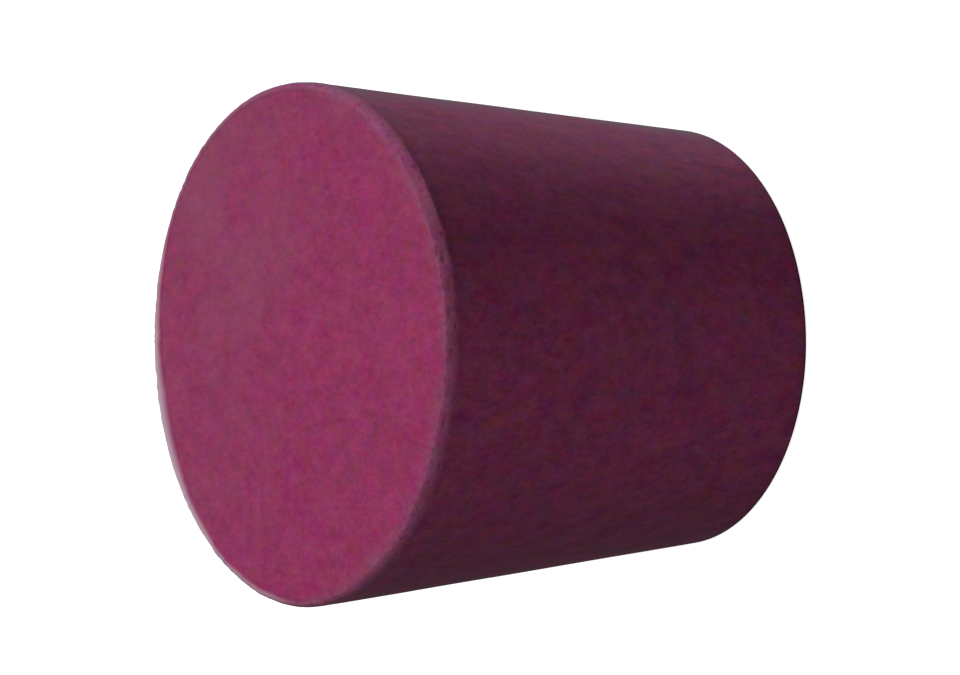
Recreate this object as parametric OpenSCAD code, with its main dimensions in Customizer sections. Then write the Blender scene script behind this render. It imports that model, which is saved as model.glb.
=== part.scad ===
// Solid laboratory stopper, moulded in one piece of rubber.
//
// A plain round plug with a 1 in 5 taper and a flat at each end. The large end carries
// the narrow band that is left where the mould flash is trimmed off, which leans in a
// little, and the small end has a rounded edge that leads it into a neck.
//
// The stopper stands on its small end: +Z is its axis, pointing to the large end, and
// the origin is the middle of the small end. All sizes are in millimetres.

/* [Body] */
// Diameter of the large end, at the foot of the trimmed band, where it is widest
large_diameter = 38; // [34:0.5:50]
// Diameter of the small end, where the tapered wall would meet its flat
small_diameter = 31; // [20:0.5:33]
// Height from the flat of the small end to the flat of the large end
stopper_height = 35; // [15:0.5:60]

/* [Large end] */
// Height of the band left by trimming the flash
band_height = 0.9; // [0.7:0.1:3]
// Lean of the band from upright, inward to the large flat
band_lean = 12; // [0:1:30]
// Step from the foot of the band in to the top of the tapered wall
band_step = 0.08; // [0.03:0.01:0.4]
// Radius of the edge between the band and the large flat
band_edge_radius = 0.25; // [0.1:0.05:0.6]

/* [Small end] */
// Radius of the edge between the tapered wall and the small flat
foot_edge_radius = 0.5; // [0.2:0.1:3]

/* [Hidden] */

// Facets of a full turn of the stopper, and of a full circle in its section
turn_facets = 180;
edge_facets = 48;

large_radius = large_diameter / 2;
small_radius = small_diameter / 2;

// The tapered wall runs from the small flat up to the foot of the band
wall_top_radius = large_radius - band_step;
wall_height = stopper_height - band_height;

// Lean of the wall from upright
wall_lean = atan((wall_top_radius - small_radius) / wall_height);

// Centre of the foot's rounded edge, which touches both the small flat and the wall
foot_centre = [
    small_radius + foot_edge_radius * (sin(wall_lean) - 1) / cos(wall_lean),
    foot_edge_radius
];

// Point where the foot's rounded edge runs into the wall
foot_on_wall = foot_centre + foot_edge_radius * [cos(wall_lean), -sin(wall_lean)];

// Centre of the band's rounded edge, which touches both the leaning band and the large flat
band_edge_height = stopper_height - band_edge_radius;
band_edge_centre = [
    large_radius
        - (band_edge_height - wall_height) * tan(band_lean)
        - band_edge_radius / cos(band_lean),
    band_edge_height
];

// Point where the band runs into its rounded edge
edge_on_band = band_edge_centre + band_edge_radius * [cos(band_lean), sin(band_lean)];

// A full circle that fills a cut corner of the section and so rounds its edge
module edge_round(centre, radius) {
    translate(centre)
        circle(radius, $fn = edge_facets);
}

// Half of the section through the axis, with each rounded edge first cut straight
// across between the two points where its circle touches
module half_section() {
    polygon([
        [0, 0],
        [foot_centre.x, 0],
        foot_on_wall,
        [wall_top_radius, wall_height],
        [large_radius, wall_height],
        edge_on_band,
        [band_edge_centre.x, stopper_height],
        [0, stopper_height]
    ]);
    edge_round(foot_centre, foot_edge_radius);
    edge_round(band_edge_centre, band_edge_radius);
}

module stopper() {
    color([0.55, 0.23, 0.37])
        rotate_extrude($fn = turn_facets)
            half_section();
}

stopper();
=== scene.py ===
"""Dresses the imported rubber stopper: one moulded piece with its trimmed rim, and a plain studio round it."""

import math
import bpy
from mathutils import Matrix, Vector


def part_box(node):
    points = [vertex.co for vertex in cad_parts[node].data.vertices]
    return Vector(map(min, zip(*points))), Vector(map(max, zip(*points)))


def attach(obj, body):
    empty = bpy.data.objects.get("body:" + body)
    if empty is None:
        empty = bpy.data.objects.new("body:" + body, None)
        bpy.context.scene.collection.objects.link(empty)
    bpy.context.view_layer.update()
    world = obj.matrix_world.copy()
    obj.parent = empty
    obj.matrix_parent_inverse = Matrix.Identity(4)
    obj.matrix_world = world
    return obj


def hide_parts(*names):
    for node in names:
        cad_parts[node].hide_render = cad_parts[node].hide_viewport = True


bl_info = {
    "name": "Rubber Stopper",
    "version": (1, 0, 0),
    "blender": (4, 5, 0),
    "location": "3D View > Sidebar > Stopper",
    "description": "Models a moulded rubber stopper with a trimmed rim and lights it in a plain studio",
    "category": "Object",
}

import bmesh
import bpy
import numpy as np
from bpy.props import FloatProperty, FloatVectorProperty, IntProperty, PointerProperty
from mathutils import Euler, Matrix, Vector, noise

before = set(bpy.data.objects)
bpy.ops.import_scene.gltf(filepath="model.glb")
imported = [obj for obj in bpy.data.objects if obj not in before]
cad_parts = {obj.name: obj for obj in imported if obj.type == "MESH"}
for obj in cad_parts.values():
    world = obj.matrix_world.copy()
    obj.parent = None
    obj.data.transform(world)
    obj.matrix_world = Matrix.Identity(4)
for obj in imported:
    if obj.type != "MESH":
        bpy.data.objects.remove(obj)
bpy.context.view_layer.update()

MM = 0.001

# The frame gives the two sizes that reach the corners of its box.
CAD_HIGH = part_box("stopper")[1]
CAD_DIAMETER = 2 * CAD_HIGH.x
CAD_HEIGHT = CAD_HIGH.z

# Steps round the stopper on the rim, and on the wall and the outer part of each flat
RIM_TURNS = 1152
WALL_TURNS = 576

# The trimmed band, at even steps of a turn from +X towards +Y: its height in millimetres, its lean
# in degrees at the top, how early that lean is lost on the way down (0 is not at all, 1 is evenly),
# how far in millimetres its foot stands out of the wall, and the radius of its edge with the flat
BAND_HEIGHTS = (
    1.00, 1.00, 0.95, 0.90, 0.95, 1.00, 1.05, 1.00, 0.95, 1.00, 0.95, 0.90,
    0.90, 1.10, 1.30, 0.95, 1.05, 0.92, 0.90, 0.90, 0.82, 0.88, 1.00, 1.00,
)
BAND_LEANS = (
    20, 24, 22, 20, 22, 26, 28, 26, 24, 24, 26, 22,
    14, 13, 20, 19, 22, 19, 18, 24, 31, 29, 30, 24,
)
BAND_FALLS = (
    0.8, 1.0, 1.0, 1.2, 1.0, 1.1, 1.2, 1.3, 1.1, 1.0, 1.2, 1.4,
    1.6, 1.8, 2.4, 1.0, 1.1, 0.8, 0.8, 0.3, 0.1, 0.4, 0.7, 0.6,
)
BAND_STEPS = (
    0.02, 0.03, 0.02, 0.02, 0.02, 0.02, 0.02, 0.02, 0.02, 0.02, 0.02, 0.02,
    0.00, -0.04, -0.07, -0.02, 0.00, 0.01, 0.02, 0.03, 0.03, 0.03, 0.03, 0.03,
)
EDGE_RADII = (
    0.26, 0.28, 0.28, 0.30, 0.30, 0.34, 0.36, 0.34, 0.30, 0.28, 0.28, 0.28,
    0.26, 0.28, 0.34, 0.26, 0.26, 0.26, 0.24, 0.22, 0.20, 0.22, 0.26, 0.26,
)

# At the same steps, all in millimetres except the shares: how far pale wear reaches from the edge
# on to the large flat, the share and the width of the painted highlight, a pale crescent along the
# edge, and the share of the faint painted shadow line inside it
WEAR_WIDTHS = (
    0.35, 0.35, 0.30, 0.30, 0.30, 0.35, 0.35, 0.35, 0.35, 0.35, 0.40, 0.45,
    0.50, 0.90, 1.20, 1.50, 1.35, 1.75, 1.05, 1.10, 0.65, 0.50, 0.60, 0.65,
)
HIGHLIGHT_SHARES = (
    0.00, 0.10, 0.12, 0.16, 0.22, 0.65, 0.92, 1.00, 1.00, 0.90, 0.60, 0.52,
    0.04, 0.00, 0.00, 0.00, 0.00, 0.00, 0.00, 0.00, 0.00, 0.00, 0.00, 0.00,
)
HIGHLIGHT_WIDTHS = (
    0.20, 0.20, 0.20, 0.22, 0.30, 0.58, 0.92, 1.20, 1.02, 0.62, 0.40, 0.34,
    0.20, 0.20, 0.20, 0.20, 0.20, 0.20, 0.20, 0.20, 0.20, 0.20, 0.20, 0.20,
)
SHADOW_LINE_SHARES = (
    0.70, 0.80, 0.80, 0.75, 0.80, 0.60, 0.50, 0.45, 0.15, 0.00, 0.00, 0.20,
    0.60, 0.20, 0.00, 0.00, 0.00, 0.00, 0.00, 0.00, 0.00, 0.00, 0.00, 0.10,
)

# At the same steps, how far in millimetres the rim stands out of its circle, or in where below 0.
# The error dies away down the wall and towards the axis.
ROUND_ERRORS = (
    0.00, 0.00, 0.00, 0.00, 0.00, 0.00, 0.00, 0.00, 0.00, 0.00, 0.00, 0.00,
    0.00, -0.04, -0.16, -0.10, -0.10, -0.07, 0.08, 0.22, 0.22, 0.16, 0.10, 0.04,
)

# Depth below the large flat down to which the rim goes, and how far it goes in on the flat
RIM_DEPTH = 3.0 * MM
RIM_REACH = 2.8 * MM

# Most that the edge of the large flat is dulled, and how far from it, and the depth of fine dents
EDGE_DULLING = 0.018 * MM
DULLED_REACH = 0.5 * MM
DENT_DEPTH = 0.005 * MM

# Chips, in millimetres: ranges of their depth below the large flat, half length and half height
CHIP_DROPS = (0.1, 0.8)
CHIP_LENGTHS = (0.12, 0.42)
CHIP_HEIGHTS = (0.08, 0.2)

# Share of the chips that lie on the edge of the large flat, their depth below it in millimetres, how
# much of its own depth a chip cuts inward and downward there, and the share of the rim's way in on
# the flat that no chip passes
EDGE_CHIP_SHARE = 0.3
EDGE_CHIP_DROP = 0.02
EDGE_CHIP_CUT = (0.6, 0.5)
CHIPPED_SHARE = 0.3

# Shares of the band's height down to which its wear is full, and over which it then fades
BAND_WEAR_DROP = 0.6
BAND_WEAR_FADE = 0.65

# Half the width of the painted shadow line; how dark the painted shade is along the worn edge of the large
# flat; and how dark the chips are on the flat and on the band, with dirt and painted shade in them
SHADOW_LINE_REACH = 0.24 * MM
WORN_EDGE_SHADE = 0.28
FLAT_CHIP_DIRT_AND_SHADE = 0.4
BAND_CHIP_DIRT_AND_SHADE = 0.7

# The piece's materials in their order, and the attributes that carry the marks on the rim
FLAT_SLOT, WALL_SLOT, BAND_SLOT = 0, 1, 2
RIM_MARKS = ("rim_wear", "rim_dirt_and_shade", "rim_highlight")

# Where the lamps stand and the point they face, in metres, then the floor and its gap under the foot
KEY_PLACE = (-0.10, -0.459, 0.913)
SIDE_PLACE = (0.811, 0.436, 0.42)
FILL_PLACE = (-0.46, 0.85, 0.26)
LAMP_TARGET = (0.0, 0.0, 0.03)
FLOOR_HALF_WIDTH = 3.0
FLOOR_GAP = 0.02 * MM


# ---------------------------------------------------------------- sizes, colours and studio


class StopperSizes(bpy.types.PropertyGroup):
    """Sizes of the stopper, and how rough the trimming left its rim."""

    large_diameter: FloatProperty(
        name="Large Diameter", description="Diameter of the large end, over the trimmed band",
        default=CAD_DIAMETER, min=0.02, max=0.08, unit="LENGTH", precision=5,
    )
    small_diameter: FloatProperty(
        name="Small Diameter", description="Diameter of the small end, where the wall would meet its flat",
        default=31.0 * MM, min=0.01, max=0.07, unit="LENGTH", precision=5,
    )
    height: FloatProperty(
        name="Height", description="From the flat of the small end to the flat of the large end",
        default=CAD_HEIGHT, min=0.01, max=0.08, unit="LENGTH", precision=5,
    )
    band_height: FloatProperty(
        name="Band Height", description="Height of the band that is left where the flash is trimmed",
        default=0.9 * MM, min=0.0005, max=0.004, unit="LENGTH", precision=5,
    )
    step_ease: FloatProperty(
        name="Step Ease", description="Height over which the foot of the band runs into the wall",
        default=0.8 * MM, min=0.00005, max=0.002, unit="LENGTH", precision=5,
    )
    foot_edge_radius: FloatProperty(
        name="Foot Edge Radius", description="Radius of the edge between the wall and the small flat",
        default=0.5 * MM, min=0.0001, max=0.003, unit="LENGTH", precision=5,
    )
    trim_wander: FloatProperty(
        name="Trim Wander", description="How far small waves carry the foot of the band up and down",
        default=0.04 * MM, min=0.0, max=0.0005, unit="LENGTH", precision=5,
    )
    chip_depth: FloatProperty(
        name="Chip Depth", description="Depth of the deepest chip in the trimmed band",
        default=0.06 * MM, min=0.0, max=0.0005, unit="LENGTH", precision=5,
    )
    chip_count: IntProperty(
        name="Chips", description="Number of small chips round the trimmed band and its edge",
        default=170, min=0, max=600,
    )
    unevenness: FloatProperty(
        name="Unevenness", description="Faint waves that the mould left in the wall and the large flat",
        default=0.02 * MM, min=0.0, max=0.0002, unit="LENGTH", precision=6,
    )


class StopperColours(bpy.types.PropertyGroup):
    """Colours of the rubber and of what lies on it, and how much of it the films cover, with painted sheen, a
    painted highlight and painted shade among them.
    """

    flat: FloatVectorProperty(
        name="Flats", description="Rubber of the two flat ends",
        default=(0.264, 0.025, 0.098), size=3, min=0.0, max=1.0, subtype="COLOR",
    )
    wall: FloatVectorProperty(
        name="Wall", description="Rubber of the tapered wall",
        default=(0.265, 0.040, 0.117), size=3, min=0.0, max=1.0, subtype="COLOR",
    )
    band: FloatVectorProperty(
        name="Band", description="Rubber of the trimmed band",
        default=(0.266, 0.042, 0.118), size=3, min=0.0, max=1.0, subtype="COLOR",
    )
    bloom: FloatVectorProperty(
        name="Bloom", description="Pale dusty film that old rubber sweats out",
        default=(0.180, 0.108, 0.133), size=3, min=0.0, max=1.0, subtype="COLOR",
    )
    # Dust and painted sheen: this colour is real dust all round, and painted sheen on the side towards +X.
    dust_and_sheen: FloatVectorProperty(
        name="Dust And Sheen", description="Paler, bluer dust on the wall and the band",
        default=(0.180, 0.110, 0.151), size=3, min=0.0, max=1.0, subtype="COLOR",
    )
    # Painted highlight: the colour of a pale crescent along the far edge of the large flat, which stands in
    # for a grazing highlight.
    painted_highlight: FloatVectorProperty(
        name="Painted Highlight", description="Chalky rubber where the edge of the large flat was rubbed",
        default=(0.45, 0.31, 0.38), size=3, min=0.0, max=1.0, subtype="COLOR",
    )
    speck: FloatVectorProperty(
        name="Specks", description="Dark grains that never mixed into the rubber",
        default=(0.08, 0.012, 0.04), size=3, min=0.0, max=1.0, subtype="COLOR",
    )
    # Dirt and painted shade: this dark colour fills the chips, and paints shade on the worn edge of the large
    # flat and in a line along it.
    dirt_and_shade: FloatVectorProperty(
        name="Dirt And Shade", description="Dirt in the chips and beside the worn edge",
        default=(0.06, 0.01, 0.035), size=3, min=0.0, max=1.0, subtype="COLOR",
    )
    bloom_cover: FloatProperty(
        name="Bloom Cover", description="Share of the flats that the bloom covers",
        default=0.12, min=0.0, max=1.0, subtype="FACTOR",
    )
    dust_cover: FloatProperty(
        name="Dust Cover", description="Share of the wall and the band that the dust covers all round",
        default=0.04, min=0.0, max=1.0, subtype="FACTOR",
    )
    # Painted sheen: the side towards +X, where the side lamp grazes, is painted paler.
    side_painted_sheen: FloatProperty(
        name="Side Painted Sheen", description="Share of the side towards +X that the dust covers",
        default=0.43, min=0.0, max=1.0, subtype="FACTOR",
    )
    # Painted sheen: a narrow pale strip painted along the middle of that side, a painted grazing highlight.
    crest_painted_sheen: FloatProperty(
        name="Crest Painted Sheen", description="Thicker dust along the middle of that side",
        default=2.2, min=0.0, max=5.0,
    )
    wear_cover: FloatProperty(
        name="Wear Cover", description="Share of the worn edge that looks dusty",
        default=0.29, min=0.0, max=1.0, subtype="FACTOR",
    )


class StopperStudio(bpy.types.PropertyGroup):
    """Camera, lamps and floor."""

    lens: FloatProperty(
        name="Lens", description="Focal length of the camera in millimetres",
        default=280.0, min=20.0, max=600.0,
    )
    camera_distance: FloatProperty(
        name="Camera Distance", description="From the camera to the point that it aims at",
        default=549.45 * MM, min=0.1, max=3.0, unit="LENGTH",
    )
    camera_elevation: FloatProperty(
        name="Camera Elevation", description="Angle of the camera above the floor",
        default=math.radians(35.57), min=0.0, max=math.pi / 2, unit="ROTATION",
    )
    camera_roll: FloatProperty(
        name="Camera Roll", description="Turn of the camera about its own axis, which lays the stopper down",
        default=math.radians(-91.12), min=-math.pi, max=math.pi, unit="ROTATION",
    )
    aim_side: FloatProperty(
        name="Aim Side", description="How far beside the stopper's axis the camera aims",
        default=0.27 * MM, min=-0.02, max=0.02, unit="LENGTH", precision=5,
    )
    aim_height: FloatProperty(
        name="Aim Height", description="Height on the stopper that the camera aims at",
        default=18.54 * MM, min=0.0, max=0.08, unit="LENGTH", precision=5,
    )
    lamp_size: FloatProperty(
        name="Lamp Size", description="Width of each square soft lamp",
        default=0.45, min=0.05, max=2.0, unit="LENGTH",
    )
    key_power: FloatProperty(
        name="Key Power", description="Power of the soft lamp high on the camera's side",
        default=6.8, min=0.0, max=500.0, unit="POWER",
    )
    side_power: FloatProperty(
        name="Side Power", description="Power of the lower soft lamp beside the stopper",
        default=10.2, min=0.0, max=500.0, unit="POWER",
    )
    fill_power: FloatProperty(
        name="Fill Power", description="Power of the faint soft lamp behind the stopper",
        default=1.2, min=0.0, max=500.0, unit="POWER",
    )
    ambient: FloatProperty(
        name="Ambient", description="Strength of the even light from all round",
        default=0.05, min=0.0, max=1.0,
    )
    floor_shade: FloatProperty(
        name="Floor Shade", description="Share of the lamps' light that the floor sends back to the stopper",
        default=0.045, min=0.0, max=1.0, subtype="FACTOR",
    )


# ---------------------------------------------------------------- mesh


def arc(centre, radius, start, end, steps):
    """Points (radius, height) on an arc of the section, angles in degrees from outward to upward."""
    angles = np.radians(np.linspace(start, end, steps + 1))
    return [(centre[0] + radius * math.cos(a), centre[1] + radius * math.sin(a)) for a in angles]


def between(start, end, spacing):
    """Points (radius, height) evenly spaced from start up to, but without, end."""
    steps = max(1, round(math.dist(start, end) / spacing))
    across, up = end[0] - start[0], end[1] - start[1]
    return [(start[0] + across * i / steps, start[1] + up * i / steps) for i in range(steps)]


def flat_rings(outer, height):
    """Rings (radius, height, turns) of a flat from its outer radius inward, with fewer turns further in."""
    rings, radius, turns = [], outer, WALL_TURNS
    while turns >= 12:
        half_way = outer * turns / WALL_TURNS / 2
        spacing = min(0.9 * MM, max(0.25 * MM, radius * 0.06))
        while radius > half_way:
            rings.append((radius, height, turns))
            radius -= spacing
        turns //= 2
    return rings


class Section:
    """The outline that is turned about the axis, as rings from the middle of one flat to the other.

    A ring is (radius, height, turns), or (part, share, turns) on the rim, whose shape changes round it.
    """

    def __init__(self, sizes):
        self.sizes = sizes
        self.radius = sizes.large_diameter / 2
        foot_radius = sizes.small_diameter / 2
        self.wall_lean = math.atan2(self.radius - foot_radius, sizes.height - sizes.band_height)
        round_ = sizes.foot_edge_radius
        foot_inset = round_ * (1 - math.sin(self.wall_lean)) / math.cos(self.wall_lean)
        foot = arc((foot_radius - foot_inset, round_), round_, -90, -math.degrees(self.wall_lean), 8)

        rim_foot = (self.line(RIM_DEPTH), sizes.height - RIM_DEPTH)
        self.flat_radius = self.radius - RIM_REACH
        self.rings = flat_rings(foot[0][0], 0.0)[::-1]
        self.rings += [(r, z, WALL_TURNS) for r, z in foot[1:-1] + between(foot[-1], rim_foot, 1.2 * MM)]
        # The rings of the rim lie closer together towards the edge of the large flat.
        band = (*np.linspace(0, 0.5, 10)[:-1], *np.linspace(0.5, 1, 18)[:-1])
        edge = np.linspace(0, 1, 8)[:-1]
        flat = (*np.linspace(0, 0.5, 13)[:-1], *np.linspace(0.5, 1, 6)[:-1])
        for part, shares in (("band", band), ("edge", edge), ("flat", flat)):
            self.rings += [(part, share, RIM_TURNS) for share in shares]
        self.rings += flat_rings(self.flat_radius, sizes.height)

    def line(self, drop):
        """Radius of the wall's straight line, carried on up to the flat, at a depth below the large flat."""
        return self.radius + (self.sizes.band_height - drop) * math.tan(self.wall_lean)


def closed_wave(rng, lowest, highest, parts):
    """A smooth wave round the rim, seldom past -1 or 1, with lowest to highest humps in a turn."""
    humps = rng.integers(lowest, highest, parts)
    shifts = rng.uniform(0, 2 * math.pi, parts)
    weights = 1 / np.sqrt(humps)
    weights /= np.sqrt((weights**2).sum()) * 1.2

    def wave(angles):
        return sum(w * np.sin(h * angles + s) for w, h, s in zip(weights, humps, shifts))

    return wave


def fade(distance, reach):
    """1 at no distance and 0 at reach and beyond, with a smooth fall between."""
    t = np.clip(1 - distance / reach, 0, 1)
    return t * t * (3 - 2 * t)


def closed_curve(values):
    """A smooth curve round the rim through values that are evenly spaced over a turn."""
    count, steps = len(values), 720
    grid = np.arange(steps) * count / steps
    before = np.floor(grid).astype(int)
    t = grid - before
    ease = t * t * (3 - 2 * t)
    values = np.asarray(values)
    curve = values[before % count] * (1 - ease) + values[(before + 1) % count] * ease

    def at(angles):
        return np.interp(angles, np.arange(steps + 1) * 2 * math.pi / steps, np.append(curve, curve[0]))

    return at


class Rim:
    """The band and what trimming and use left on it: a changing lean, a dulled edge, chips and marks, and the
    painted highlight and painted shade along its edge.
    """

    def __init__(self, section, seed=11):
        rng = np.random.default_rng(seed)
        sizes = section.sizes
        self.section = section
        self.stray = closed_wave(rng, 9, 90, 14)
        self.wear = closed_wave(rng, 5, 160, 18)
        self.dents = closed_wave(rng, 20, 300, 18)

        count = sizes.chip_count
        angle = rng.uniform(0, 2 * math.pi, count)
        on_edge = rng.random(count) < EDGE_CHIP_SHARE
        drop = np.where(on_edge, EDGE_CHIP_DROP, rng.uniform(*CHIP_DROPS, count)) * MM
        length = rng.uniform(*CHIP_LENGTHS, count) * MM
        tall = rng.uniform(*CHIP_HEIGHTS, count) * MM
        depth = sizes.chip_depth * rng.uniform(0.25, 1.0, count) ** 1.5
        self.chips = list(zip(angle, drop, length, tall, depth))

        angles = np.arange(RIM_TURNS) * (2 * math.pi / RIM_TURNS)
        self.angles = angles
        self.band = closed_curve(BAND_HEIGHTS)(angles) * MM + sizes.trim_wander * self.stray(angles)
        self.lean = np.radians(closed_curve(BAND_LEANS)(angles))
        self.fall = closed_curve(BAND_FALLS)(angles)
        self.step = closed_curve(BAND_STEPS)(angles) * MM
        self.wear_width = closed_curve(WEAR_WIDTHS)(angles) * MM
        self.highlight_share = closed_curve(HIGHLIGHT_SHARES)(angles)
        self.highlight_width = closed_curve(HIGHLIGHT_WIDTHS)(angles) * MM
        self.shadow_line_share = closed_curve(SHADOW_LINE_SHARES)(angles)
        self.edge_radius = closed_curve(EDGE_RADII)(angles) * MM
        self.edge_drop = self.edge_radius * (1 - np.sin(self.lean))

    def band_radius(self, drop):
        """Radii of the band, and of the wall under it, at depths below the large flat."""
        slope = np.tan(self.lean) + math.tan(self.section.wall_lean)
        tall = self.band - self.edge_drop
        power = self.fall + 1
        inset = slope * tall / power * np.clip((self.band - drop) / tall, 0, 1) ** power
        ease = np.where(self.step > 0, self.section.sizes.step_ease, RIM_DEPTH - self.band)
        step = self.step * fade(np.maximum(0, drop - self.band), ease)
        return self.section.line(drop) + step - inset

    def outline(self, part, share):
        """Radii, depths below the large flat, and distances in from its edge, of one ring of the rim."""
        edge_centre = self.band_radius(self.edge_drop) - self.edge_radius * np.cos(self.lean)
        still = np.zeros_like(self.angles)
        if part == "band":
            drop = RIM_DEPTH + (self.edge_drop - RIM_DEPTH) * share
            return self.band_radius(drop), drop, still
        if part == "edge":
            turn = self.lean + (math.pi / 2 - self.lean) * share
            drop = self.edge_radius * (1 - np.sin(turn))
            return edge_centre + self.edge_radius * np.cos(turn), drop, still
        inward = (edge_centre - self.section.flat_radius) * share
        return edge_centre - inward, still, inward

    def marks(self, part, drop, inward):
        """Wear, dirt with painted shade, and painted highlight of one ring, from 0 to 1."""
        near = drop + inward
        if part == "flat":
            wear = np.clip(1 - inward / self.wear_width, 0, 1) ** 1.3
        else:
            wear = fade(np.maximum(0, drop / self.band - BAND_WEAR_DROP), BAND_WEAR_FADE)
        wear = wear * (0.85 + 0.3 * self.wear(self.angles))
        # Painted shadow: a faint dark line along the edge of the large flat, at the inner border of the
        # painted highlight.
        dirt_and_shade = self.shadow_line_share * fade(np.abs(near - self.highlight_width), SHADOW_LINE_REACH)
        # Painted shade: the large flat is darkened along its worn edge, where it turns away from the light.
        if part == "flat":
            dirt_and_shade = np.maximum(dirt_and_shade, WORN_EDGE_SHADE * wear)
        # Painted highlight: a pale crescent along the edge of the large flat.
        painted_highlight = self.highlight_share * fade(near, self.highlight_width * (1 + 0.08 * self.stray(self.angles)))
        return np.clip(wear, 0, 1), dirt_and_shade, np.clip(painted_highlight, 0, 1)

    def chip_bowls(self, drop, inward):
        """Each chip's greatest depth, and the share of it that is cut at the points of one ring."""
        for angle, chip_drop, length, tall, depth in self.chips:
            along = (self.angles - angle + math.pi) % (2 * math.pi) - math.pi
            across = np.hypot(inward, drop - chip_drop)
            bowl = 1 - (along * self.section.radius / length) ** 2 - (across / tall) ** 2
            yield depth, np.sqrt(np.clip(bowl, 0, 1))

    def shape(self, part, share):
        """Radii, heights, wear, dirt with painted shade, and painted highlight of one ring after trimming and
        use.
        """
        radius, drop, inward = self.outline(part, share)
        dulled = EDGE_DULLING * np.maximum(0, 1 + 0.8 * self.wear(self.angles))
        dulled = dulled * fade(drop + inward, DULLED_REACH)
        radius = radius - dulled
        height = self.section.sizes.height - drop - dulled
        if part == "band":
            radius = radius + DENT_DEPTH * self.dents(self.angles) * (drop < self.band)

        wear, dirt_and_shade, painted_highlight = self.marks(part, drop, inward)
        if part == "flat" and share >= CHIPPED_SHARE:
            return radius, height, wear, dirt_and_shade, painted_highlight
        for depth, bowl in self.chip_bowls(drop, inward):
            if part == "band":
                radius = radius - depth * bowl
            else:
                radius = radius - EDGE_CHIP_CUT[0] * depth * bowl
                height = height - EDGE_CHIP_CUT[1] * depth * bowl
            # The chips are darkened: dirt in them, and painted shade in their hollows.
            dirt_and_shade = np.maximum(dirt_and_shade, bowl * (FLAT_CHIP_DIRT_AND_SHADE if part == "flat" else BAND_CHIP_DIRT_AND_SHADE))
        return radius, height, wear, dirt_and_shade, painted_highlight


def unevenness(point, amount):
    """Shift of a surface point by the faint waves of the mould."""
    slow = noise.noise(point / (7.0 * MM))
    quick = noise.noise(point / (2.2 * MM) + Vector((31, 7, 19)))
    return amount * (slow + 0.35 * quick)


def turned_rings(mesh, section, rim, amount, layers):
    """Adds the vertices of every ring, and returns them as one list for each ring.

    The waves of the mould only cut inward, and they leave the small flat level to stand on.
    """
    sizes = section.sizes
    round_error = closed_curve(ROUND_ERRORS)
    made = []
    for *ring, turns in section.rings:
        angles = np.arange(turns) * (2 * math.pi / turns)
        if turns == RIM_TURNS:
            radii, heights, *marks = rim.shape(*ring)
            on_flat = False
        else:
            radii, heights = np.full(turns, ring[0]), np.full(turns, ring[1])
            marks = [np.zeros(turns) for _ in layers]
            on_flat = ring[1] in (0.0, sizes.height)
        carried = (heights / sizes.height) ** 2 * (radii / section.radius) ** 2
        radii = radii + round_error(angles) * MM * carried
        made.append([])
        for angle, radius, height, *values in zip(angles, radii, heights, *marks):
            point = Vector((radius * math.cos(angle), radius * math.sin(angle), height))
            shift = unevenness(point, amount)
            if on_flat:
                point.z -= abs(shift) if height > 0 else 0.0
            else:
                point.xy *= 1 + min(0.0, shift - amount) / radius
            vertex = mesh.verts.new(point)
            for layer, value in zip(layers, values):
                vertex[layer] = value
            made[-1].append(vertex)
    return made


def bridge(mesh, lower, upper, slot):
    """Faces between two rings, whose numbers of vertices are the same or one twice the other."""
    def face(*corners):
        made = mesh.faces.new(corners)
        made.material_index = slot
        made.smooth = True

    if len(lower) == len(upper):
        for i in range(len(lower)):
            j = (i + 1) % len(lower)
            face(lower[i], lower[j], upper[j], upper[i])
        return
    few, many = (lower, upper) if len(lower) < len(upper) else (upper, lower)
    flip = few is upper
    for i in range(len(few)):
        j = (i + 1) % len(few)
        a, b, c = many[2 * i], many[2 * i + 1], many[(2 * i + 2) % len(many)]
        for corners in ((few[i], b, a), (few[i], few[j], b), (few[j], c, b)):
            face(*(corners[::-1] if flip else corners))


def cap(mesh, ring, height, slot, upward):
    """Closes the middle of a flat with a fan to one point."""
    middle = mesh.verts.new((0, 0, height))
    for i in range(len(ring)):
        pair = (ring[i], ring[(i + 1) % len(ring)])
        made = mesh.faces.new((*(pair if upward else pair[::-1]), middle))
        made.material_index = slot
        made.smooth = True


def ring_slot(ring, sizes):
    """The material of the faces that end at a ring, coming from below."""
    part, level, _ = ring
    if part == "band":
        return BAND_SLOT if level * RIM_DEPTH > RIM_DEPTH - sizes.band_height else WALL_SLOT
    if part == "edge":
        return BAND_SLOT
    return FLAT_SLOT if part == "flat" or level in (0.0, sizes.height) else WALL_SLOT


def stopper_mesh(sizes):
    """The stopper's closed mesh, with the marks on its rim kept as attributes."""
    section = Section(sizes)
    mesh = bmesh.new()
    layers = [mesh.verts.layers.float.new(name) for name in RIM_MARKS]
    rings = turned_rings(mesh, section, Rim(section), sizes.unevenness, layers)
    for lower, upper, ring in zip(rings, rings[1:], section.rings[1:]):
        bridge(mesh, lower, upper, ring_slot(ring, sizes))
    cap(mesh, rings[0], 0.0, FLAT_SLOT, upward=False)
    cap(mesh, rings[-1], sizes.height, FLAT_SLOT, upward=True)
    data = bpy.data.meshes.new("rubber_stopper")
    mesh.to_mesh(data)
    mesh.free()
    return data


# ---------------------------------------------------------------- node helpers


def feed(tree, socket, value):
    """Links a socket to the one that is given, or sets it to a plain value."""
    if isinstance(value, bpy.types.NodeSocket):
        tree.links.new(value, socket)
    else:
        socket.default_value = value


def add_node(tree, kind, inputs=None, **settings):
    """Adds a node with its settings, and links or sets each input that is given."""
    node = tree.nodes.new(kind)
    node.location = (220 * len(tree.nodes), 0)
    for name, value in settings.items():
        setattr(node, name, value)
    for key, value in (inputs or {}).items():
        feed(tree, node.inputs[key], value)
    return node


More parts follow.
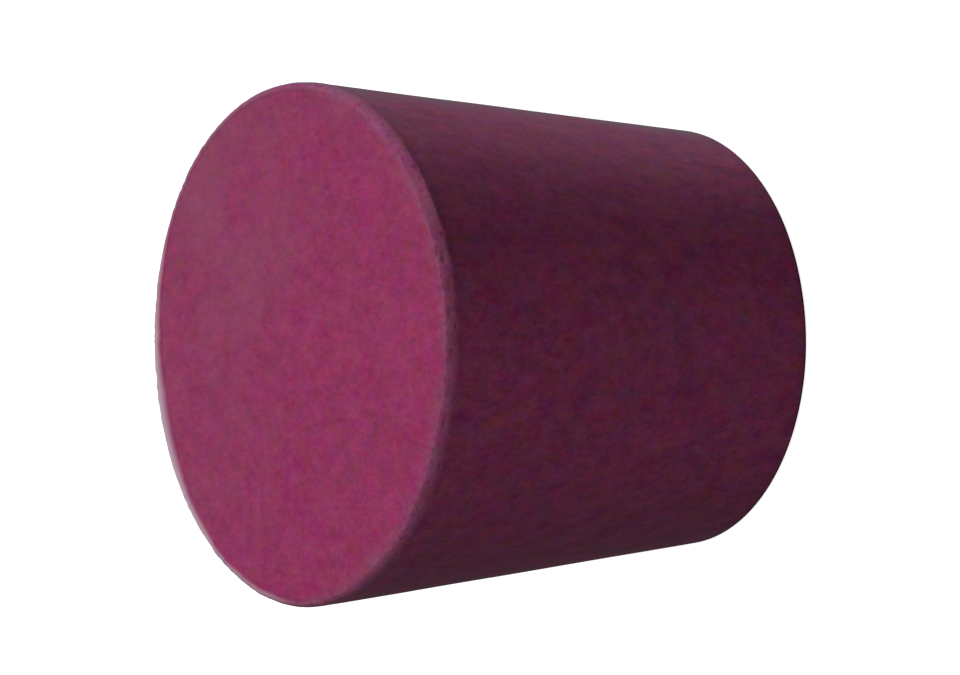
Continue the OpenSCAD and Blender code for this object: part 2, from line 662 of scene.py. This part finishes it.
def calc(tree, operation, first, second=0.0, clamp=False):
    """The result of a Math node."""
    node = add_node(tree, "ShaderNodeMath", {0: first, 1: second}, operation=operation, use_clamp=clamp)
    return node.outputs[0]


def vector_calc(tree, operation, first, second):
    """The result of a Vector Math node."""
    return add_node(tree, "ShaderNodeVectorMath", {0: first, 1: second}, operation=operation).outputs[0]


def blend_colour(tree, share, first, second):
    """A mix of two colours, the second by its share."""
    node = add_node(tree, "ShaderNodeMix", data_type="RGBA")
    sockets = [socket for socket in node.inputs if socket.enabled]
    for socket, value in zip(sockets, (share, first, second)):
        feed(tree, socket, value)
    return next(socket for socket in node.outputs if socket.enabled)


def spread(tree, value, low, high, to_low=0.0, to_high=1.0):
    """A value carried from one range to another, smooth at both ends."""
    node = add_node(
        tree, "ShaderNodeMapRange",
        {"Value": value, "From Min": low, "From Max": high, "To Min": to_low, "To Max": to_high},
        interpolation_type="SMOOTHSTEP",
    )
    return node.outputs["Result"]


# ---------------------------------------------------------------- node groups


def new_group(name, inputs, outputs):
    """An empty shader node group with named sockets, and its tree's input and output nodes."""
    group = bpy.data.node_groups.new(name, "ShaderNodeTree")
    for label, kind in inputs:
        group.interface.new_socket(name=label, in_out="INPUT", socket_type="NodeSocket" + kind)
    for label, kind in outputs:
        group.interface.new_socket(name=label, in_out="OUTPUT", socket_type="NodeSocket" + kind)
    entry = group.nodes.new("NodeGroupInput").outputs
    leave = group.nodes.new("NodeGroupOutput").inputs
    return group, entry, leave


def place_group(tree, group, inputs):
    """A group placed in a material with that material's own values."""
    return add_node(tree, "ShaderNodeGroup", inputs, node_tree=group).outputs


def noise_at(tree, place, size, detail, roughness, offset):
    """A noise texture whose largest patches are about size across, shifted so that no two are alike."""
    moved = vector_calc(tree, "ADD", place, offset)
    scale = calc(tree, "DIVIDE", 1.0, size)
    return add_node(
        tree, "ShaderNodeTexNoise",
        {"Vector": moved, "Scale": scale, "Detail": detail, "Roughness": roughness},
    ).outputs


def mottle_group():
    """Rubber, worn or not, whose pigment never mixed evenly: streaks lean to red, violet or grey."""
    group, entry, leave = new_group(
        "Rubber Mottle",
        [
            ("Place", "Vector"), ("Rubber", "Color"), ("Worn Rubber", "Color"), ("Wear", "Float"),
            ("Stretch", "Vector"), ("Patch Size", "Float"), ("Hue Swing", "Vector"),
            ("Shade Swing", "Float"), ("Grain Swing", "Float"),
        ],
        [("Color", "Color")],
    )
    rubber = blend_colour(group, entry["Wear"], entry["Rubber"], entry["Worn Rubber"])
    place = vector_calc(group, "MULTIPLY", entry["Place"], entry["Stretch"])
    hue = noise_at(group, place, entry["Patch Size"], 3.4, 0.84, (3.0, 11.0, 5.0))["Color"]
    shade = noise_at(group, place, entry["Patch Size"], 3.4, 0.84, (41.0, 2.0, 17.0))["Fac"]
    grain = noise_at(group, place, 0.32, 1.2, 0.6, (13.0, 31.0, 7.0))["Fac"]
    lean = vector_calc(group, "SUBTRACT", hue, (0.5, 0.5, 0.5))
    swing = vector_calc(group, "MULTIPLY", lean, entry["Hue Swing"])
    for value, amount in ((shade, entry["Shade Swing"]), (grain, entry["Grain Swing"])):
        change = calc(group, "MULTIPLY", calc(group, "SUBTRACT", value, 0.5), amount)
        swing = vector_calc(group, "ADD", swing, change)
    factor = vector_calc(group, "ADD", swing, (1.0, 1.0, 1.0))
    feed(group, leave["Color"], vector_calc(group, "MULTIPLY", factor, rubber))
    return group


def speck_group():
    """Undispersed grains in the rubber, dark ones and pale ones."""
    group, entry, leave = new_group(
        "Rubber Specks",
        [
            ("Place", "Vector"), ("Color", "Color"), ("Spacing", "Float"), ("Speck Size", "Float"),
            ("Dark Color", "Color"), ("Dark Share", "Float"),
            ("Pale Color", "Color"), ("Pale Share", "Float"),
        ],
        [("Color", "Color")],
    )
    scale = calc(group, "DIVIDE", 1.0, entry["Spacing"])
    cells = add_node(group, "ShaderNodeTexVoronoi", {"Vector": entry["Place"], "Scale": scale})
    draws = add_node(group, "ShaderNodeSeparateColor", {"Color": cells.outputs["Color"]}).outputs
    reach = calc(group, "MULTIPLY", calc(group, "MULTIPLY", entry["Speck Size"], scale), draws["Blue"])
    dot = spread(group, cells.outputs["Distance"], 0.0, reach, 1.0, 0.0)

    # Each cell's random red decides: a dark speck in three tenths of them, a pale one in a quarter.
    dark = calc(group, "MULTIPLY", dot, calc(group, "GREATER_THAN", draws["Red"], 0.7))
    pale = calc(group, "MULTIPLY", dot, calc(group, "LESS_THAN", draws["Red"], 0.25))
    dark = calc(group, "MULTIPLY", dark, entry["Dark Share"])
    pale = calc(group, "MULTIPLY", pale, entry["Pale Share"])
    colour = blend_colour(group, dark, entry["Color"], entry["Dark Color"])
    feed(group, leave["Color"], blend_colour(group, pale, colour, entry["Pale Color"]))
    return group


def cover_group():
    """Share that dusty film covers: even, with a drift, in one cloud, and painted sheen on the side towards
    +X.
    """
    group, entry, leave = new_group(
        "Rubber Cover",
        [
            ("Place", "Vector"), ("Normal", "Vector"), ("Even Cover", "Float"), ("Drift", "Vector"),
            ("Cloud Middle", "Vector"), ("Cloud Reach", "Float"), ("Cloud Cover", "Float"),
            ("Side Painted Sheen", "Float"), ("Crest Painted Sheen", "Float"),
        ],
        [("Cover", "Float")],
    )
    along = add_node(
        group, "ShaderNodeVectorMath", {0: entry["Place"], 1: entry["Drift"]}, operation="DOT_PRODUCT"
    ).outputs["Value"]
    away = add_node(
        group, "ShaderNodeVectorMath", {0: entry["Place"], 1: entry["Cloud Middle"]}, operation="DISTANCE"
    ).outputs["Value"]
    cloud = spread(group, away, 0.0, entry["Cloud Reach"], entry["Cloud Cover"], 0.0)

    # The side towards +X, which the side lamp grazes, is painted paler as sheen. The higher the power, the
    # narrower the strip, and some rubber always shows through.
    facing = add_node(group, "ShaderNodeSeparateXYZ", {0: entry["Normal"]}).outputs["X"]
    facing = calc(group, "MAXIMUM", facing, 0.0)
    side = calc(group, "MULTIPLY", calc(group, "POWER", facing, 4.0), entry["Side Painted Sheen"])
    crest = calc(group, "MULTIPLY", calc(group, "POWER", facing, 40.0), entry["Crest Painted Sheen"])
    painted_sheen = calc(group, "MINIMUM", calc(group, "ADD", side, crest), 0.96)
    even = calc(group, "ADD", along, entry["Even Cover"])
    feed(group, leave["Cover"], calc(group, "ADD", even, calc(group, "ADD", cloud, painted_sheen)))
    return group


def bloom_group():
    """Dusty film over the cover it is given, which on the wall also holds painted sheen: a thin even veil,
    thicker in clouds and on worn edges.
    """
    group, entry, leave = new_group(
        "Rubber Bloom",
        [
            ("Place", "Vector"), ("Color", "Color"), ("Film Color", "Color"), ("Cloud Size", "Float"),
            ("Cover", "Float"), ("Wear", "Float"), ("Wear Cover", "Float"),
        ],
        [("Color", "Color")],
    )
    worn = calc(group, "MULTIPLY", entry["Wear"], entry["Wear Cover"])
    clouds = noise_at(group, entry["Place"], entry["Cloud Size"], 5.0, 0.6, (7.0, 23.0, 13.0))["Fac"]
    streaks = noise_at(group, entry["Place"], 0.45, 2.0, 0.6, (19.0, 3.0, 29.0))["Fac"]
    veil = calc(group, "MULTIPLY", entry["Cover"], spread(group, clouds, 0.25, 0.75, 0.5, 1.5))
    scuffed = calc(group, "MULTIPLY", worn, spread(group, streaks, 0.3, 0.7, 0.6, 1.3))
    both = calc(group, "ADD", calc(group, "POWER", veil, 2.0), calc(group, "POWER", scuffed, 2.0))
    share = calc(group, "SQRT", both)
    feed(group, leave["Color"], blend_colour(group, share, entry["Color"], entry["Film Color"]))
    return group


def marks_group():
    """Dirt and painted shade in the chips, painted shade beside the worn edge and in a line along it, and a
    painted highlight over it.
    """
    group, entry, leave = new_group(
        "Rim Marks",
        [
            ("Color", "Color"), ("Dirt And Shade", "Float"), ("Dirt And Shade Color", "Color"), ("Dirt And Shade Share", "Float"),
            ("Painted Highlight", "Float"), ("Painted Highlight Color", "Color"),
        ],
        [("Color", "Color")],
    )
    dirt_and_shade = calc(group, "MULTIPLY", entry["Dirt And Shade"], entry["Dirt And Shade Share"])
    darkened = blend_colour(group, dirt_and_shade, entry["Color"], entry["Dirt And Shade Color"])
    feed(group, leave["Color"], blend_colour(group, entry["Painted Highlight"], darkened, entry["Painted Highlight Color"]))
    return group


def grain_group():
    """Matt grain of moulded rubber: a height for the bump and a roughness that follows it."""
    group, entry, leave = new_group(
        "Rubber Grain",
        [("Place", "Vector"), ("Grain Size", "Float"), ("Roughness", "Float")],
        [("Height", "Float"), ("Roughness", "Float")],
    )
    fine = noise_at(group, entry["Place"], entry["Grain Size"], 2.0, 0.6, (0.0, 0.0, 0.0))["Fac"]
    broad = noise_at(group, entry["Place"], 1.3, 3.0, 0.5, (5.0, 5.0, 5.0))["Fac"]
    height = calc(group, "ADD", fine, calc(group, "MULTIPLY", broad, 1.6))
    swing = calc(group, "MULTIPLY", calc(group, "SUBTRACT", fine, 0.5), 0.25)
    feed(group, leave["Height"], height)
    feed(group, leave["Roughness"], calc(group, "ADD", entry["Roughness"], swing, clamp=True))
    return group


# ---------------------------------------------------------------- materials


def rubber_finishes(colours):
    """Name, rubber, film, mottle and cover of each finish, in the order of the slots."""
    flat_mottle = {
        "Stretch": (1.0, 0.62, 1.0), "Hue Swing": (0.4, 2.6, 1.4),
        "Shade Swing": 0.85, "Grain Swing": 0.4,
    }
    wall_mottle = {
        "Stretch": (1.0, 1.0, 0.62), "Hue Swing": (1.2, 2.4, 2.1),
        "Shade Swing": 0.9, "Grain Swing": 0.5,
    }
    flat_cover = {
        "Even Cover": colours.bloom_cover, "Drift": (0.003, 0.003, 0.0),
        "Cloud Middle": (9.5, 7.0, 35.0), "Cloud Reach": 11.5, "Cloud Cover": 0.13,
    }
    # The wall's cover is even dust, and painted sheen on the side towards +X.
    wall_cover = {
        "Even Cover": colours.dust_cover, "Cloud Reach": 1.0, "Cloud Cover": 0.0,
        "Side Painted Sheen": colours.side_painted_sheen, "Crest Painted Sheen": colours.crest_painted_sheen,
    }
    return (
        ("rubber_flat", colours.flat, colours.bloom, flat_mottle, flat_cover),
        ("rubber_wall", colours.wall, colours.dust_and_sheen, wall_mottle, wall_cover),
        ("rubber_trimmed", colours.band, colours.dust_and_sheen, wall_mottle, wall_cover),
    )


def rubber_material(groups, colours, name, rubber, film, mottle, cover):
    """One finish of the rubber: mottle, specks, film with painted sheen, and marks with painted highlight and
    painted shade over its colour, and its matt grain.
    """
    material = bpy.data.materials.new(name)
    material.use_nodes = True
    tree = material.node_tree
    tree.nodes.clear()
    spot = add_node(tree, "ShaderNodeTexCoord").outputs
    place = add_node(
        tree, "ShaderNodeVectorMath", {0: spot["Object"], "Scale": 1 / MM}, operation="SCALE"
    ).outputs[0]
    wear, dirt_and_shade, painted_highlight = [
        add_node(tree, "ShaderNodeAttribute", attribute_name=mark).outputs["Fac"] for mark in RIM_MARKS
    ]

    colour = place_group(
        tree, groups["mottle"],
        {
            "Place": place, "Rubber": (*rubber, 1.0), "Worn Rubber": (*colours.band, 1.0),
            "Wear": wear, "Patch Size": 1.25, **mottle,
        },
    )["Color"]
    colour = place_group(
        tree, groups["specks"],
        {
            "Place": place, "Color": colour, "Spacing": 0.9, "Speck Size": 0.22,
            "Dark Color": (*colours.speck, 1.0), "Dark Share": 0.3,
            "Pale Color": (*colours.bloom, 1.0), "Pale Share": 0.12,
        },
    )["Color"]
    covered = place_group(
        tree, groups["cover"], {"Place": place, "Normal": spot["Normal"], **cover},
    )["Cover"]
    colour = place_group(
        tree, groups["bloom"],
        {
            "Place": place, "Color": colour, "Film Color": (*film, 1.0), "Cloud Size": 9.0,
            "Cover": covered, "Wear": wear, "Wear Cover": colours.wear_cover,
        },
    )["Color"]
    colour = place_group(
        tree, groups["marks"],
        {
            "Color": colour, "Dirt And Shade": dirt_and_shade, "Dirt And Shade Color": (*colours.dirt_and_shade, 1.0), "Dirt And Shade Share": 0.35,
            "Painted Highlight": painted_highlight, "Painted Highlight Color": (*colours.painted_highlight, 1.0),
        },
    )["Color"]

    grain = place_group(tree, groups["grain"], {"Place": place, "Grain Size": 0.16, "Roughness": 0.88})
    bump = add_node(
        tree, "ShaderNodeBump", {"Height": grain["Height"], "Strength": 0.6, "Distance": 0.02 * MM}
    )
    shader = add_node(
        tree, "ShaderNodeBsdfPrincipled",
        {
            "Base Color": colour, "Roughness": grain["Roughness"], "Normal": bump.outputs["Normal"],
            "Specular IOR Level": 0.0, "Sheen Weight": 0.052, "Sheen Roughness": 0.45,
            "Sheen Tint": (1.0, 0.92, 0.98, 1.0),
        },
    )
    add_node(tree, "ShaderNodeOutputMaterial", {"Surface": shader.outputs[0]})
    return material


# ---------------------------------------------------------------- studio


def seen_rays(tree):
    """1 where the camera sees a surface itself, in a reflection or through glass, and 0 otherwise."""
    path = add_node(tree, "ShaderNodeLightPath").outputs
    seen = calc(tree, "MAXIMUM", path["Is Camera Ray"], path["Is Glossy Ray"])
    return calc(tree, "MAXIMUM", seen, path["Is Transmission Ray"])


def floor_material(shade):
    """Pale floor: white with a faint shadow where it is seen, and darker where it lights the stopper."""
    material = bpy.data.materials.new("pale_floor")
    material.use_nodes = True
    tree = material.node_tree
    tree.nodes.clear()
    seen = seen_rays(tree)

    # Where it is seen, most of its white is its own, and the rest of it keeps the shadow.
    card = add_node(tree, "ShaderNodeBsdfDiffuse", {"Color": (shade, shade, shade, 1.0)}).outputs[0]
    glow = add_node(tree, "ShaderNodeEmission", {"Color": (1, 1, 1, 1), "Strength": 0.9}).outputs[0]
    paper = add_node(tree, "ShaderNodeBsdfDiffuse", {"Color": (0.3, 0.3, 0.3, 1.0)}).outputs[0]
    shown = add_node(tree, "ShaderNodeAddShader", {0: paper, 1: glow}).outputs[0]
    surface = add_node(tree, "ShaderNodeMixShader", {0: seen, 1: card, 2: shown}).outputs[0]
    add_node(tree, "ShaderNodeOutputMaterial", {"Surface": surface})
    return material


def studio_world(ambient):
    """White surroundings where they are seen, and a faint even light from them otherwise."""
    world = bpy.data.worlds.new("studio")
    world.use_nodes = True
    tree = world.node_tree
    tree.nodes.clear()
    seen = seen_rays(tree)
    strength = add_node(tree, "ShaderNodeMapRange", {"Value": seen, "To Min": ambient, "To Max": 1.0})
    sky = add_node(tree, "ShaderNodeBackground", {"Color": (1, 1, 1, 1), "Strength": strength.outputs[0]})
    add_node(tree, "ShaderNodeOutputWorld", {"Surface": sky.outputs[0]})
    return world


def soft_lamp(name, place, size, power):
    """A square area lamp that faces the stopper and that the camera doesn't see."""
    lamp = bpy.data.lights.new(name, "AREA")
    lamp.shape = "SQUARE"
    lamp.size = size
    lamp.energy = power
    made = bpy.data.objects.new(name, lamp)
    made.location = place
    made.rotation_euler = (Vector(LAMP_TARGET) - Vector(place)).to_track_quat("-Z", "Y").to_euler()
    made.visible_camera = False
    bpy.context.scene.collection.objects.link(made)


def floor_mesh():
    """A flat square floor, a hair below the stopper's foot so that the two never share one plane."""
    mesh = bmesh.new()
    half = FLOOR_HALF_WIDTH
    corners = [(-half, -half), (half, -half), (half, half), (-half, half)]
    mesh.faces.new([mesh.verts.new((*corner, -FLOOR_GAP)) for corner in corners])
    data = bpy.data.meshes.new("floor")
    mesh.to_mesh(data)
    mesh.free()
    return data


# ---------------------------------------------------------------- operators


class STOPPER_OT_build_piece(bpy.types.Operator):
    """Build the rubber stopper with its finish"""

    bl_idname = "stopper.build_piece"
    bl_label = "Build Stopper"
    bl_options = {"REGISTER", "UNDO"}

    def execute(self, context):
        colours = context.scene.stopper_colours
        data = stopper_mesh(context.scene.stopper_sizes)
        groups = {
            "mottle": mottle_group(), "specks": speck_group(), "cover": cover_group(),
            "bloom": bloom_group(), "marks": marks_group(), "grain": grain_group(),
        }
        for finish in rubber_finishes(colours):
            data.materials.append(rubber_material(groups, colours, *finish))
        piece = bpy.data.objects.new("rubber_stopper", data)
        context.scene.collection.objects.link(piece)
        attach(piece, "root")
        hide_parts("stopper")
        return {"FINISHED"}


class STOPPER_OT_build_studio(bpy.types.Operator):
    """Build the floor, the lamps, the surroundings and the camera"""

    bl_idname = "stopper.build_studio"
    bl_label = "Build Studio"
    bl_options = {"REGISTER", "UNDO"}

    def execute(self, context):
        scene = context.scene
        studio = scene.stopper_studio
        floor = bpy.data.objects.new("floor", floor_mesh())
        floor.data.materials.append(floor_material(studio.floor_shade))
        scene.collection.objects.link(floor)
        scene.world = studio_world(studio.ambient)

        soft_lamp("key", KEY_PLACE, studio.lamp_size, studio.key_power)
        soft_lamp("side", SIDE_PLACE, studio.lamp_size, studio.side_power)
        soft_lamp("fill", FILL_PLACE, studio.lamp_size, studio.fill_power)

        aim = Vector((studio.aim_side, 0.0, studio.aim_height))
        tilt = Euler((math.pi / 2 - studio.camera_elevation, 0.0, 0.0)).to_matrix()
        turn = tilt @ Matrix.Rotation(studio.camera_roll, 3, "Z")
        camera = bpy.data.objects.new("camera", bpy.data.cameras.new("camera"))
        camera.data.lens = studio.lens
        camera.data.clip_start = 0.01
        camera.location = aim + turn @ Vector((0.0, 0.0, studio.camera_distance))
        camera.rotation_euler = turn.to_euler()
        scene.collection.objects.link(camera)
        scene.camera = camera
        scene.view_settings.view_transform = "Standard"
        return {"FINISHED"}


class STOPPER_PT_sidebar(bpy.types.Panel):
    """Sizes, colours and studio of the rubber stopper"""

    bl_idname = "STOPPER_PT_sidebar"
    bl_label = "Rubber Stopper"
    bl_space_type = "VIEW_3D"
    bl_region_type = "UI"
    bl_category = "Stopper"

    def draw(self, context):
        scene = context.scene
        for title, settings in (
            ("Sizes", scene.stopper_sizes), ("Colours", scene.stopper_colours),
            ("Studio", scene.stopper_studio),
        ):
            box = self.layout.box()
            box.label(text=title)
            for name in settings.__annotations__:
                box.prop(settings, name)
        self.layout.operator(STOPPER_OT_build_piece.bl_idname)
        self.layout.operator(STOPPER_OT_build_studio.bl_idname)


CLASSES = (
    StopperSizes, StopperColours, StopperStudio,
    STOPPER_OT_build_piece, STOPPER_OT_build_studio, STOPPER_PT_sidebar,
)


def register():
    """Registers the classes and gives the scene its settings."""
    for made in CLASSES:
        bpy.utils.register_class(made)
    bpy.types.Scene.stopper_sizes = PointerProperty(type=StopperSizes)
    bpy.types.Scene.stopper_colours = PointerProperty(type=StopperColours)
    bpy.types.Scene.stopper_studio = PointerProperty(type=StopperStudio)


def unregister():
    """Takes the settings and the classes away again."""
    del bpy.types.Scene.stopper_studio
    del bpy.types.Scene.stopper_colours
    del bpy.types.Scene.stopper_sizes
    for made in reversed(CLASSES):
        bpy.utils.unregister_class(made)


def main():
    """Builds everything in order."""
    register()
    bpy.ops.stopper.build_piece()
    bpy.ops.stopper.build_studio()


if __name__ == "__main__":
    main()
